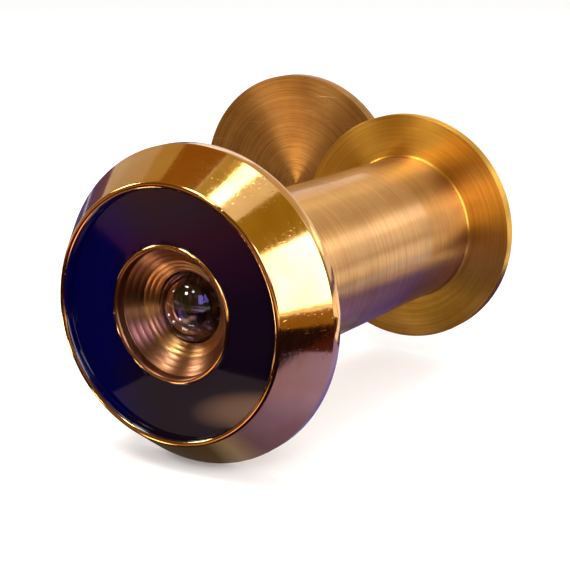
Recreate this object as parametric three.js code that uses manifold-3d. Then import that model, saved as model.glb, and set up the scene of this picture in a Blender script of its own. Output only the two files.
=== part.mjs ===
// Door viewer with a swinging privacy cover, in millimetres.
// The viewing axis is Y: the outdoor bezel is at -Y, the indoor flange at +Y, and +Z is up.
// The origin is on the axis, in the plane where the bezel seats on the outdoor face of the door.
import * as THREE from "three";
import { mergeVertices } from "three/addons/utils/BufferGeometryUtils.js";
import Module from "manifold-3d";

const wasm = await Module();
wasm.setup();

// Barrel, as long as the thinnest door is thick
const THINNEST_DOOR = 35;
const BARREL_RADIUS = 7;
const BARREL_END_CHAMFER = 0.4;

// Bezel, as heights over the door and depths below the lip
const BEZEL_RADIUS = 13;
const BEZEL_HEIGHT = 4.75;
const BEZEL_RIM_HEIGHT = 1;
const BEZEL_EDGE_ROUND = 0.15;
const LIP_RADIUS = 10.65;
const DISH_RADIUS = 10;
const DISH_DEPTH = 0.8;
const DISH_SAG = 0.12;

// Lens well
const WELL_RIM_RADIUS = 5.6;
const WELL_RADIUS = 5.15;
const WELL_WALL_DEPTH = 1.5;
const WELL_STEPS = 3;
const WELL_DEPTH = 2.55;
const WELL_STEP_SLOPE = 0.12;
const LENS_OPENING_RADIUS = 3.95;
const LENS_SEAT_TAPER = 0.75;
const LENS_SEAT_LAND = 0.25;
const LENS_LIP_THICKNESS = 1;

// Lens cell: the stack of seal, lenses and spacers behind the well
const CELL_RADIUS = 4.85;
const SEAL_THICKNESS = 0.4;
const SEAL_BORE_RADIUS = 4.1;
const FRONT_LENS_DOME_GAP = 0.2;
const FRONT_LENS_DOME_HEIGHT = 2.3;
const FRONT_LENS_STEP = 0.3;
const FRONT_LENS_EDGE = 0.9;
const FRONT_LENS_HOLLOW_RADIUS = 2.4;
const FRONT_LENS_HOLLOW_DEPTH = 2.3;
const SPACER_BORE_RADIUS = 2.9;
const FRONT_SPACER_LENGTH = 0.45;
const MIDDLE_LENS_EDGE = 2;
const MIDDLE_LENS_HOLLOW_CURVE = 5;
const REAR_SPACER_LENGTH = 0.8;
const REAR_LENS_EDGE = 2;
const REAR_LENS_FRONT_CURVE = 9;
const REAR_LENS_BACK_CURVE = 12;
const LENS_HOLLOW_RADIUS = 3.3;

// Lock ring
const LOCK_RING_LENGTH = 1.8;
const LOCK_RING_BORE_RADIUS = 3.4;
const LOCK_THREAD_PITCH = 0.75;
const LOCK_THREAD_ROOT_RADIUS = 4.8;
const LOCK_THREAD_DEPTH = 0.3;
const LOCK_THREAD_CREST_WIDTH = 0.15;
const LOCK_THREAD_FLANK = 0.19;
const LOCK_SLOT_WIDTH = 0.9;
const LOCK_SLOT_DEPTH = 0.7;

// Adjusting thread between the two halves
const THREAD_PITCH = 1.25;
const THREAD_CREST_RADIUS = 5.8;
const THREAD_DEPTH = 0.6;
const THREAD_CREST_WIDTH = 0.18;
const THREAD_FLANK = 0.36;
const BARREL_THREAD_LENGTH = 11;

// Indoor tube and flange
const TUBE_FRONT_ROOM = 2.15;
const TUBE_BORE_RADIUS = 4.5;
const TUBE_END_CHAMFER = 0.5;
const TUBE_NECK_LENGTH = 1;
const TUBE_NECK_UNDERCUT = 0.15;
const FLANGE_RADIUS = 11.15;
const FLANGE_THICKNESS = 1.2;
const FLANGE_CHAMFER = 0.2;
const SHOULDER_RADIUS = 3.95;
const SHOULDER_THICKNESS = 0.7;
const EYE_CUP_LAND = 1.1;
const EYE_CUP_THROAT_RADIUS = 4.3;
const EYE_CUP_THROAT_DEPTH = 0.8;
const EYE_CUP_DEPTH = 1.7;
const COIN_SLOT_WIDTH = 1.5;
const COIN_SLOT_DEPTH = 0.7;

// Eyepiece
const EYEPIECE_EDGE = 1.2;
const EYEPIECE_CURVE = 11;
const EYEPIECE_CAP_RADIUS = 3.8;
const SPRING_RING_WIRE_RADIUS = 0.32;
const SPRING_RING_GROOVE_DEPTH = 0.2;
const SPRING_RING_GAP_DEGREES = 50;

// Privacy cover, at rest swung open about its rivet
const COVER_RADIUS = 11.2;
const COVER_THICKNESS = 1.35;
const COVER_CHAMFER = 0.15;
const RIVET_EDGE_DISTANCE = 2.15;
const PIVOT_DEGREES = -117.9;
const COVER_OPEN_DEGREES = 100.2;
const RIVET_RADIUS = 0.8;
const RIVET_FLARE_RADIUS = 1.25;
const RIVET_FLARE_DEPTH = 0.45;
const RIVET_DOME_RADIUS = 2;
const RIVET_DOME_HEIGHT = 0.9;
const WASHER_RADIUS = 2.1;
const WASHER_THICKNESS = 0.2;
const WASHER_CUP_HEIGHT = 0.25;

// Clearances
const SEAT_GAP = 0.1;
const PUSH_FIT = 0.15;
const RUNNING_GAP = 0.3;
const THREAD_GAP = 0.22;
const THREAD_PLAY = 0.05;

// Facets round one turn, and steps along a curve
const OUTER_FACETS = 44;
const INNER_FACETS = 32;
const SMALL_FACETS = 20;
const THREAD_FACETS = 16;
const BEAD_STEPS = 3;
const DEEP_CURVE_STEPS = 5;
const CURVE_STEPS = 4;
const SHALLOW_CURVE_STEPS = 3;
const WIRE_STEPS = 24;
const WIRE_SECTION_STEPS = 4;

// How far a cutter runs past the face that it cuts, and how close corners are that count as one
const OVERCUT = 1;
const SAME_CORNER = 1e-5;

// Places along the axis that several pieces share
const LIP_Y = -BEZEL_HEIGHT;
const LENS_OPENING_Y = LIP_Y + WELL_DEPTH;
const LENS_SEAT_RADIUS = LENS_OPENING_RADIUS - LENS_SEAT_TAPER;
const CELL_SEAT_Y = LENS_OPENING_Y + LENS_LIP_THICKNESS;
const THREAD_ROOT_RADIUS = THREAD_CREST_RADIUS - THREAD_DEPTH;
const LENS_RADIUS = CELL_RADIUS - PUSH_FIT;

// The cover's pivot keeps its distance from the nearer rim of flange and cover, and the eye cup keeps clear of it
const PIVOT_RADIUS = Math.min(FLANGE_RADIUS, COVER_RADIUS) - RIVET_EDGE_DISTANCE;
const RIVET_HOLE_RADIUS = RIVET_RADIUS + RUNNING_GAP;
const EYE_CUP_RADIUS = PIVOT_RADIUS - RIVET_HOLE_RADIUS - EYE_CUP_LAND;

// The lens stack, front to back, each piece a seat gap behind the last
const SEAL_Y = CELL_SEAT_Y + SEAT_GAP;
const FRONT_LENS_Y = SEAL_Y + SEAL_THICKNESS + SEAT_GAP;
const FRONT_SPACER_Y = FRONT_LENS_Y + FRONT_LENS_EDGE + SEAT_GAP;
const MIDDLE_LENS_Y = FRONT_SPACER_Y + FRONT_SPACER_LENGTH + SEAT_GAP;
const REAR_SPACER_Y = MIDDLE_LENS_Y + MIDDLE_LENS_EDGE + SEAT_GAP;
const REAR_LENS_Y = REAR_SPACER_Y + REAR_SPACER_LENGTH + SEAT_GAP;
const LOCK_RING_Y = REAR_LENS_Y + REAR_LENS_EDGE + SEAT_GAP;
const LOCK_RING_END_Y = LOCK_RING_Y + LOCK_RING_LENGTH;

// The indoor half: its tube stops short of the lock ring on the thinnest door
const TUBE_FRONT_Y = LOCK_RING_END_Y + TUBE_FRONT_ROOM;
const FLANGE_Y = THINNEST_DOOR;
const FLANGE_BACK_Y = FLANGE_Y + FLANGE_THICKNESS;

// A closed geometry as a solid for cutting and joining.
function solidFrom(geometry) {
  const bare = new THREE.BufferGeometry();
  const source = geometry.index ? geometry.toNonIndexed() : geometry;
  bare.setAttribute("position", source.getAttribute("position"));
  const merged = mergeVertices(bare, SAME_CORNER);
  const corners = merged.index.array;
  const kept = [];
  for (let i = 0; i < corners.length; i += 3) {
    const [a, b, c] = corners.slice(i, i + 3);
    if (a !== b && b !== c && c !== a) {
      kept.push(a, b, c);
    }
  }
  const mesh = new wasm.Mesh({
    numProp: 3,
    vertProperties: merged.getAttribute("position").array,
    triVerts: new Uint32Array(kept),
  });
  return new wasm.Manifold(mesh);
}

// A solid back as a geometry with one normal per face.
function geometryFrom(solid) {
  const mesh = solid.getMesh();
  const geometry = new THREE.BufferGeometry();
  geometry.setAttribute("position", new THREE.Float32BufferAttribute(mesh.vertProperties, 3));
  geometry.setIndex(new THREE.Uint32BufferAttribute(mesh.triVerts, 1));
  const faceted = geometry.toNonIndexed();
  faceted.computeVertexNormals();
  return faceted;
}

// Points of a round stretch, from one angle to the other, in the plane of radius and axis.
function arc(radius, y, bend, fromDegrees, toDegrees, steps) {
  const points = [];
  for (let i = 0; i <= steps; i += 1) {
    const angle = THREE.MathUtils.degToRad(fromDegrees + ((toDegrees - fromDegrees) * i) / steps);
    points.push([radius + bend * Math.cos(angle), y + bend * Math.sin(angle)]);
  }
  return points;
}

// Height of a spherical surface of the given curve at a radius, measured from its crown.
function sag(curve, radius) {
  return curve - Math.sqrt(curve * curve - radius * radius);
}

// Radius of the ball whose cap has the given radius and height.
function curveOf(radius, height) {
  return (radius * radius + height * height) / (2 * height);
}

// Points of a spherical cap from one radius to another, its crown on the axis at crownY.
// Side 1 falls away towards +Y from the crown, and side -1 towards -Y.
function cap(curve, crownY, side, fromRadius, toRadius, steps) {
  const from = Math.asin(fromRadius / curve);
  const to = Math.asin(toRadius / curve);
  const points = [];
  for (let i = 0; i <= steps; i += 1) {
    const angle = from + ((to - from) * i) / steps;
    points.push([curve * Math.sin(angle), crownY + side * curve * (1 - Math.cos(angle))]);
  }
  return points;
}

// A turned piece: an outline of [radius, y], counter-clockwise, spun about the Y axis.
// Outlines that don't begin on the axis are closed back to their first point.
function turned(outline, facets) {
  const points = outline.map(([radius, y]) => new THREE.Vector2(Math.max(radius, 0), y));
  if (outline[0][0] > 0) {
    points.push(points[0].clone());
  }
  return solidFrom(new THREE.LatheGeometry(points, facets));
}

// A plain ring between two radii.
function ring(bore, radius, fromY, length, facets) {
  return turned(
    [
      [bore, fromY],
      [radius, fromY],
      [radius, fromY + length],
      [bore, fromY + length],
    ],
    facets,
  );
}

// A rod with a right-hand helical ridge, whose crest passes the +Z side at fromY and every pitch after it.
// Each step round the rod lays one row of root, crest, crest and root, and its ends close on the axis.
function threadedRod({ root, crest, crestWidth, flank, pitch, fromY, turns }) {
  const half = crestWidth / 2;
  const row = [
    [root, -half - flank],
    [crest, -half],
    [crest, half],
    [root, half + flank],
  ];
  const rows = turns * THREAD_FACETS;
  const positions = [];
  for (let i = 0; i <= rows + THREAD_FACETS; i += 1) {
    const angle = (2 * Math.PI * i) / THREAD_FACETS;
    for (const [radius, rise] of row) {
      const y = fromY + (pitch * i) / THREAD_FACETS + rise;
      positions.push(radius * Math.sin(angle), y, radius * Math.cos(angle));
    }
  }
  const last = row.length - 1;
  const at = (i, j) => i * row.length + j;
  const bottom = positions.length / 3;
  const top = bottom + 1;
  positions.push(0, fromY, 0);
  positions.push(0, fromY + pitch * (turns + 1), 0);
  const faces = [];
  for (let i = 0; i < rows; i += 1) {
    for (let j = 0; j < last; j += 1) {
      faces.push(at(i, j), at(i + 1, j), at(i + 1, j + 1));
      faces.push(at(i, j), at(i + 1, j + 1), at(i, j + 1));
    }
    const nextTurn = i + THREAD_FACETS;
    faces.push(at(i, last), at(i + 1, last), at(nextTurn + 1, 0));
    faces.push(at(i, last), at(nextTurn + 1, 0), at(nextTurn, 0));
  }
  for (let i = 0; i < THREAD_FACETS; i += 1) {
    faces.push(bottom, at(i + 1, 0), at(i, 0));
    faces.push(top, at(rows + i, 0), at(rows + i + 1, 0));
  }
  for (let j = 0; j < last; j += 1) {
    faces.push(bottom, at(0, j), at(0, j + 1));
    faces.push(top, at(rows, j + 1), at(rows, j));
  }
  faces.push(bottom, at(0, last), at(THREAD_FACETS, 0));
  faces.push(top, at(rows + THREAD_FACETS, 0), at(rows, last));
  const geometry = new THREE.BufferGeometry();
  geometry.setAttribute("position", new THREE.Float32BufferAttribute(positions, 3));
  geometry.setIndex(faces);
  return solidFrom(geometry);
}

// Everything inside the space between two planes across the axis.
function slice(fromY, toY) {
  const reach = 2 * BEZEL_RADIUS;
  return turned(
    [
      [0, fromY],
      [reach, fromY],
      [reach, toY],
      [0, toY],
    ],
    SMALL_FACETS,
  );
}

// A threaded rod cut square at both ends, its turns in step with crests at phaseY.
function cutThread(form, phaseY, fromY, toY) {
  const turnsBefore = Math.ceil((phaseY - fromY) / form.pitch) + 2;
  const startY = phaseY - turnsBefore * form.pitch;
  const turns = Math.ceil((toY - startY) / form.pitch) + 1;
  return threadedRod({ ...form, fromY: startY, turns }).intersect(slice(fromY, toY));
}

// The thread of the barrel or of the lock ring's seat: the same ridge, grown by its clearances.
function femaleForm(form, gap) {
  return {
    ...form,
    root: form.root + gap,
    crest: form.crest + gap,
    crestWidth: form.crestWidth + 2 * THREAD_PLAY,
  };
}

// Radius of a drilled hole that the thread's facets clear all round.
function insideThread(form) {
  return form.root * Math.cos(Math.PI / THREAD_FACETS) - SEAT_GAP;
}

const ADJUSTING_THREAD = {
  root: THREAD_ROOT_RADIUS,
  crest: THREAD_CREST_RADIUS,
  crestWidth: THREAD_CREST_WIDTH,
  flank: THREAD_FLANK,
  pitch: THREAD_PITCH,
};
const LOCK_THREAD = {
  root: LOCK_THREAD_ROOT_RADIUS,
  crest: LOCK_THREAD_ROOT_RADIUS + LOCK_THREAD_DEPTH,
  crestWidth: LOCK_THREAD_CREST_WIDTH,
  flank: LOCK_THREAD_FLANK,
  pitch: LOCK_THREAD_PITCH,
};

// Outline of the bezel's face from the lens opening out to the lip: stepped well, rim, dish and lip.
function faceOutline() {
  const points = [];
  const ledge = (WELL_RADIUS - LENS_OPENING_RADIUS) / WELL_STEPS;
  const drop = (WELL_DEPTH - WELL_WALL_DEPTH) / WELL_STEPS;
  for (let i = 0; i < WELL_STEPS; i += 1) {
    const inner = LENS_OPENING_RADIUS + ledge * i;
    const floor = LENS_OPENING_Y - drop * i;
    points.push([inner, floor]);
    points.push([inner + ledge, floor - WELL_STEP_SLOPE]);
  }
  const dishY = LIP_Y + DISH_DEPTH;
  const rimHalf = (WELL_RIM_RADIUS - WELL_RADIUS) / 2;
  points.push(...arc(WELL_RADIUS + rimHalf, dishY, rimHalf, 180, 360, BEAD_STEPS));
  points.push([(WELL_RIM_RADIUS + DISH_RADIUS) / 2, dishY + DISH_SAG]);
  points.push([DISH_RADIUS, dishY]);
  const lipHalf = (LIP_RADIUS - DISH_RADIUS) / 2;
  const bevelTilt = Math.atan2(BEZEL_HEIGHT - BEZEL_RIM_HEIGHT - lipHalf, BEZEL_RADIUS - LIP_RADIUS);
  const bevelStart = 270 + THREE.MathUtils.radToDeg(bevelTilt);
  points.push(...arc(DISH_RADIUS + lipHalf, LIP_Y + lipHalf, lipHalf, 180, bevelStart, BEAD_STEPS));
  return points;
}

// Bezel and barrel, turned from one bar.
function outerBarrel() {
  const body = turned(
    [
      [0, LENS_OPENING_Y],
      ...faceOutline(),
      [BEZEL_RADIUS - BEZEL_EDGE_ROUND, -BEZEL_RIM_HEIGHT - BEZEL_EDGE_ROUND],
      [BEZEL_RADIUS, -BEZEL_RIM_HEIGHT + BEZEL_EDGE_ROUND],
      [BEZEL_RADIUS, -BEZEL_EDGE_ROUND],
      [BEZEL_RADIUS - BEZEL_EDGE_ROUND, 0],
      [BARREL_RADIUS, 0],
      [BARREL_RADIUS, THINNEST_DOOR - BARREL_END_CHAMFER],
      [BARREL_RADIUS - BARREL_END_CHAMFER, THINNEST_DOOR],
      [0, THINNEST_DOOR],
    ],
    OUTER_FACETS,
  );
  const reliefRadius = THREAD_CREST_RADIUS + RUNNING_GAP;
  const reliefY = LOCK_RING_END_Y + RUNNING_GAP;
  const threadY = THINNEST_DOOR - BARREL_THREAD_LENGTH;
  const female = femaleForm(ADJUSTING_THREAD, THREAD_GAP);
  const drillRadius = insideThread(female);
  const bore = turned(
    [
      [0, LIP_Y],
      [LENS_OPENING_RADIUS, LIP_Y],
      [LENS_OPENING_RADIUS, LENS_OPENING_Y],
      [LENS_SEAT_RADIUS, CELL_SEAT_Y - LENS_SEAT_LAND],
      [LENS_SEAT_RADIUS, CELL_SEAT_Y],
      [CELL_RADIUS, CELL_SEAT_Y],
      [CELL_RADIUS, reliefY],
      [reliefRadius, reliefY + reliefRadius - CELL_RADIUS],
      [reliefRadius, threadY],
      [drillRadius, threadY + reliefRadius - drillRadius],
      [drillRadius, THINNEST_DOOR - (reliefRadius - drillRadius)],
      [reliefRadius, THINNEST_DOOR + SEAT_GAP],
      [0, THINNEST_DOOR + SEAT_GAP],
    ],
    INNER_FACETS,
  );
  const adjusting = cutThread(female, THINNEST_DOOR, threadY, THINNEST_DOOR + SEAT_GAP);
  const lockingForm = femaleForm(LOCK_THREAD, PUSH_FIT);
  const locking = cutThread(lockingForm, LOCK_RING_Y, LOCK_RING_Y, reliefY + LOCK_THREAD_DEPTH);
  return body.subtract(bore).subtract(adjusting).subtract(locking);
}

// Rubber ring in front of the front lens.
function frontLensSeal() {
  return ring(SEAL_BORE_RADIUS, LENS_RADIUS, SEAL_Y, SEAL_THICKNESS, INNER_FACETS);
}

// Domed front lens. Its dome stands in the seat, its shoulder is behind the seal and its back is hollow.
function frontLens() {
  const domeRadius = LENS_SEAT_RADIUS - FRONT_LENS_DOME_GAP;
  const domeCurve = curveOf(domeRadius, FRONT_LENS_DOME_HEIGHT);
  const crownY = FRONT_LENS_Y - FRONT_LENS_STEP - FRONT_LENS_DOME_HEIGHT;
  const backY = FRONT_LENS_Y + FRONT_LENS_EDGE;
  const hollowCurve = curveOf(FRONT_LENS_HOLLOW_RADIUS, FRONT_LENS_HOLLOW_DEPTH);
  const hollowY = backY - FRONT_LENS_HOLLOW_DEPTH;
  return turned(
    [
      ...cap(domeCurve, crownY, 1, 0, domeRadius, DEEP_CURVE_STEPS),
      [domeRadius, FRONT_LENS_Y],
      [LENS_RADIUS, FRONT_LENS_Y],
      [LENS_RADIUS, backY],
      ...cap(hollowCurve, hollowY, 1, FRONT_LENS_HOLLOW_RADIUS, 0, DEEP_CURVE_STEPS),
    ],
    INNER_FACETS,
  );
}

// Second lens: flat in front, hollow behind.
function middleLens() {
  const backY = MIDDLE_LENS_Y + MIDDLE_LENS_EDGE;
  const hollowY = backY - sag(MIDDLE_LENS_HOLLOW_CURVE, LENS_HOLLOW_RADIUS);
  return turned(
    [
      [0, MIDDLE_LENS_Y],
      [LENS_RADIUS, MIDDLE_LENS_Y],
      [LENS_RADIUS, backY],
      ...cap(MIDDLE_LENS_HOLLOW_CURVE, hollowY, 1, LENS_HOLLOW_RADIUS, 0, CURVE_STEPS),
    ],
    INNER_FACETS,
  );
}

// Third lens: hollow on both sides.
function rearLens() {
  const frontHollowY = REAR_LENS_Y + sag(REAR_LENS_FRONT_CURVE, LENS_HOLLOW_RADIUS);
  const backY = REAR_LENS_Y + REAR_LENS_EDGE;
  const backHollowY = backY - sag(REAR_LENS_BACK_CURVE, LENS_HOLLOW_RADIUS);
  return turned(
    [
      ...cap(REAR_LENS_FRONT_CURVE, frontHollowY, -1, 0, LENS_HOLLOW_RADIUS, SHALLOW_CURVE_STEPS),
      [LENS_RADIUS, REAR_LENS_Y],
      [LENS_RADIUS, backY],
      ...cap(REAR_LENS_BACK_CURVE, backHollowY, 1, LENS_HOLLOW_RADIUS, 0, SHALLOW_CURVE_STEPS),
    ],
    INNER_FACETS,
  );
}

// Threaded ring behind the lenses, with a slot across its back for a two-pronged spanner.
function lensLockRing() {
  const blank = cutThread(LOCK_THREAD, LOCK_RING_Y, LOCK_RING_Y, LOCK_RING_END_Y);
  const bore = turned(
    [
      [0, LOCK_RING_Y - OVERCUT],
      [LOCK_RING_BORE_RADIUS, LOCK_RING_Y - OVERCUT],
      [LOCK_RING_BORE_RADIUS, LOCK_RING_END_Y + OVERCUT],
      [0, LOCK_RING_END_Y + OVERCUT],
    ],
    INNER_FACETS,
  );
  const slot = new THREE.BoxGeometry(LOCK_SLOT_WIDTH, 2 * LOCK_SLOT_DEPTH, 4 * LENS_RADIUS);
  slot.translate(0, LOCK_RING_END_Y, 0);
  return blank.subtract(bore).subtract(solidFrom(slot));
}

// Where the eyepiece lens and its spring ring sit in the indoor tube.
const SHOULDER_Y = FLANGE_BACK_Y - EYE_CUP_DEPTH - SHOULDER_THICKNESS;
const EYEPIECE_BACK_Y = SHOULDER_Y - SEAT_GAP;
const EYEPIECE_FRONT_Y = EYEPIECE_BACK_Y - EYEPIECE_EDGE;
const SPRING_RING_Y = EYEPIECE_FRONT_Y - SEAT_GAP - SPRING_RING_WIRE_RADIUS;

// Where the cover swings.
const pivotAngle = THREE.MathUtils.degToRad(PIVOT_DEGREES);
const PIVOT_X = PIVOT_RADIUS * Math.sin(pivotAngle);
const PIVOT_Z = PIVOT_RADIUS * Math.cos(pivotAngle);
const COVER_Y = FLANGE_BACK_Y + RUNNING_GAP;
const COVER_BACK_Y = COVER_Y + COVER_THICKNESS;
const WASHER_Y = COVER_BACK_Y + SEAT_GAP;
const RIVET_DOME_Y = WASHER_Y + WASHER_CUP_HEIGHT + WASHER_THICKNESS + SEAT_GAP;

// A turned piece or cut that is centred on the cover's pivot.
function turnedAtPivot(outline) {
  const points = outline.map(([radius, y]) => new THREE.Vector2(radius, y));
  const lathe = new THREE.LatheGeometry(points, SMALL_FACETS);
  lathe.translate(PIVOT_X, 0, PIVOT_Z);
  return solidFrom(lathe);
}

// Hollow of the indoor half: tube bore, spring ring's groove, shoulder and eye cup.
function tubeHollow() {
  const grooveHalf = SPRING_RING_WIRE_RADIUS + PUSH_FIT;
  const grooveRadius = TUBE_BORE_RADIUS + SPRING_RING_GROOVE_DEPTH;
  return turned(
    [
      [0, TUBE_FRONT_Y - OVERCUT],
      [TUBE_BORE_RADIUS, TUBE_FRONT_Y - OVERCUT],
      [TUBE_BORE_RADIUS, SPRING_RING_Y - grooveHalf],
      [grooveRadius, SPRING_RING_Y - grooveHalf],
      [grooveRadius, SPRING_RING_Y + grooveHalf],
      [TUBE_BORE_RADIUS, SPRING_RING_Y + grooveHalf],
      [TUBE_BORE_RADIUS, SHOULDER_Y],
      [SHOULDER_RADIUS, SHOULDER_Y],
      [SHOULDER_RADIUS, SHOULDER_Y + SHOULDER_THICKNESS],
      [EYE_CUP_THROAT_RADIUS, FLANGE_BACK_Y - EYE_CUP_THROAT_DEPTH],
      [EYE_CUP_RADIUS, FLANGE_BACK_Y],
      [EYE_CUP_RADIUS, FLANGE_BACK_Y + OVERCUT],
      [0, FLANGE_BACK_Y + OVERCUT],
    ],
    INNER_FACETS,
  );
}

// Flange and threaded tube, turned from one bar. The barrel's end sits in a shallow recess of the flange.
function innerTube() {
  const neckY = FLANGE_Y - TUBE_NECK_LENGTH;
  const recessY = FLANGE_Y + RUNNING_GAP;
  const flange = turned(
    [
      [0, neckY - SEAT_GAP],
      [THREAD_ROOT_RADIUS - TUBE_NECK_UNDERCUT, neckY - SEAT_GAP],
      [THREAD_ROOT_RADIUS - TUBE_NECK_UNDERCUT, recessY],
      [BARREL_RADIUS + RUNNING_GAP, recessY],
      [BARREL_RADIUS + RUNNING_GAP, FLANGE_Y],
      [FLANGE_RADIUS - FLANGE_CHAMFER, FLANGE_Y],
      [FLANGE_RADIUS, FLANGE_Y + FLANGE_CHAMFER],
      [FLANGE_RADIUS, FLANGE_BACK_Y - FLANGE_CHAMFER],
      [FLANGE_RADIUS - FLANGE_CHAMFER, FLANGE_BACK_Y],
      [0, FLANGE_BACK_Y],
    ],
    OUTER_FACETS,
  );
  const blunted = turned(
    [
      [0, TUBE_FRONT_Y],
      [THREAD_CREST_RADIUS - TUBE_END_CHAMFER, TUBE_FRONT_Y],
      [THREAD_CREST_RADIUS + THREAD_GAP, TUBE_FRONT_Y + TUBE_END_CHAMFER + THREAD_GAP],
      [THREAD_CREST_RADIUS + THREAD_GAP, neckY],
      [0, neckY],
    ],
    INNER_FACETS,
  );
  const thread = cutThread(ADJUSTING_THREAD, THINNEST_DOOR, TUBE_FRONT_Y, neckY).intersect(blunted);
  const rivetHole = turnedAtPivot([
    [0, FLANGE_Y - OVERCUT],
    [RIVET_FLARE_RADIUS + RUNNING_GAP, FLANGE_Y - OVERCUT],
    [RIVET_FLARE_RADIUS + RUNNING_GAP, FLANGE_Y + SEAT_GAP],
    [RIVET_HOLE_RADIUS, FLANGE_Y + SEAT_GAP + RIVET_FLARE_DEPTH],
    [RIVET_HOLE_RADIUS, FLANGE_BACK_Y + OVERCUT],
    [0, FLANGE_BACK_Y + OVERCUT],
  ]);
  const coinSlotLength = 2 * (EYE_CUP_RADIUS + RUNNING_GAP);
  const coinSlot = new THREE.BoxGeometry(COIN_SLOT_WIDTH, 2 * COIN_SLOT_DEPTH, coinSlotLength);
  coinSlot.translate(0, FLANGE_BACK_Y, 0);
  return thread.add(flange).subtract(tubeHollow()).subtract(rivetHole).subtract(solidFrom(coinSlot));
}

// Converging lens that the eye looks through.
function eyepieceLens() {
  const radius = TUBE_BORE_RADIUS - PUSH_FIT - SEAT_GAP;
  const bulge = sag(EYEPIECE_CURVE, EYEPIECE_CAP_RADIUS);
  return turned(
    [
      ...cap(EYEPIECE_CURVE, EYEPIECE_FRONT_Y - bulge, 1, 0, EYEPIECE_CAP_RADIUS, CURVE_STEPS),
      [radius, EYEPIECE_FRONT_Y],
      [radius, EYEPIECE_BACK_Y],
      ...cap(EYEPIECE_CURVE, EYEPIECE_BACK_Y + bulge, -1, EYEPIECE_CAP_RADIUS, 0, CURVE_STEPS),
    ],
    INNER_FACETS,
  );
}

// Open ring of round wire that snaps into the tube's groove.
function eyepieceSpringRing() {
  const radius = TUBE_BORE_RADIUS + SPRING_RING_GROOVE_DEPTH - PUSH_FIT - SPRING_RING_WIRE_RADIUS;
  const gap = THREE.MathUtils.degToRad(SPRING_RING_GAP_DEGREES);
  class WireArc extends THREE.Curve {
    getPoint(t, target = new THREE.Vector3()) {
      const angle = gap / 2 + t * (2 * Math.PI - gap);
      return target.set(radius * Math.sin(angle), SPRING_RING_Y, radius * Math.cos(angle));
    }
  }
  const section = new THREE.Shape();
  section.absarc(0, 0, SPRING_RING_WIRE_RADIUS, 0, 2 * Math.PI, false);
  const wire = new THREE.ExtrudeGeometry(section, {
    steps: WIRE_STEPS,
    curveSegments: WIRE_SECTION_STEPS,
    bevelEnabled: false,
    extrudePath: new WireArc(),
  });
  return solidFrom(wire);
}

// Flat disc that hangs on the rivet, drawn closed, with its centre on the viewing axis.
function privacyCover() {
  const disc = turned(
    [
      [0, COVER_Y],
      [COVER_RADIUS - COVER_CHAMFER, COVER_Y],
      [COVER_RADIUS, COVER_Y + COVER_CHAMFER],
      [COVER_RADIUS, COVER_BACK_Y - COVER_CHAMFER],
      [COVER_RADIUS - COVER_CHAMFER, COVER_BACK_Y],
      [0, COVER_BACK_Y],
    ],
    OUTER_FACETS,
  );
  const hole = turnedAtPivot([
    [0, COVER_Y - OVERCUT],
    [RIVET_HOLE_RADIUS, COVER_Y - OVERCUT],
    [RIVET_HOLE_RADIUS, COVER_BACK_Y + OVERCUT],
    [0, COVER_BACK_Y + OVERCUT],
  ]);
  return disc.subtract(hole);
}

// Rivet: flared flush with the flange's door side and domed over the washer.
function coverRivet() {
  const flareY = FLANGE_Y + SEAT_GAP;
  const dome = [];
  for (let i = 0; i < CURVE_STEPS; i += 1) {
    const angle = (Math.PI / 2) * (i / CURVE_STEPS);
    dome.push([RIVET_DOME_RADIUS * Math.cos(angle), RIVET_DOME_Y + RIVET_DOME_HEIGHT * Math.sin(angle)]);
  }
  dome.push([0, RIVET_DOME_Y + RIVET_DOME_HEIGHT]);
  return turnedAtPivot([
    [0, flareY],
    [RIVET_FLARE_RADIUS, flareY],
    [RIVET_RADIUS, flareY + RIVET_FLARE_DEPTH],
    [RIVET_RADIUS, RIVET_DOME_Y],
    ...dome,
  ]);
}

// Cupped washer: its rim presses on the cover and its inner edge on the rivet's dome.
function coverSpringWasher() {
  return turnedAtPivot([
    [RIVET_HOLE_RADIUS, WASHER_Y + WASHER_CUP_HEIGHT],
    [WASHER_RADIUS, WASHER_Y],
    [WASHER_RADIUS, WASHER_Y + WASHER_THICKNESS],
    [RIVET_HOLE_RADIUS, WASHER_Y + WASHER_CUP_HEIGHT + WASHER_THICKNESS],
    [RIVET_HOLE_RADIUS, WASHER_Y + WASHER_CUP_HEIGHT],
  ]);
}

// Materials
const polishedBrass = new THREE.MeshStandardMaterial({ color: "#c8963c", metalness: 1, roughness: 0.12 });
const turnedBrass = new THREE.MeshStandardMaterial({ color: "#b8863a", metalness: 1, roughness: 0.3 });
const blackedAluminium = new THREE.MeshStandardMaterial({ color: "#1c1a19", metalness: 0.6, roughness: 0.5 });
const springSteel = new THREE.MeshStandardMaterial({ color: "#8d8f92", metalness: 1, roughness: 0.35 });
const opticalGlass = new THREE.MeshStandardMaterial({
  color: "#dfe6ea",
  metalness: 0,
  roughness: 0.02,
  transparent: true,
  opacity: 0.35,
});
const blackRubber = new THREE.MeshStandardMaterial({ color: "#161616", metalness: 0, roughness: 0.8 });

// Plain tube that keeps two lenses apart.
function spacer(fromY, length) {
  return ring(SPACER_BORE_RADIUS, LENS_RADIUS, fromY, length, INNER_FACETS);
}

function part(name, solid, material) {
  const mesh = new THREE.Mesh(geometryFrom(solid), material);
  mesh.name = name;
  return mesh;
}

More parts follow.
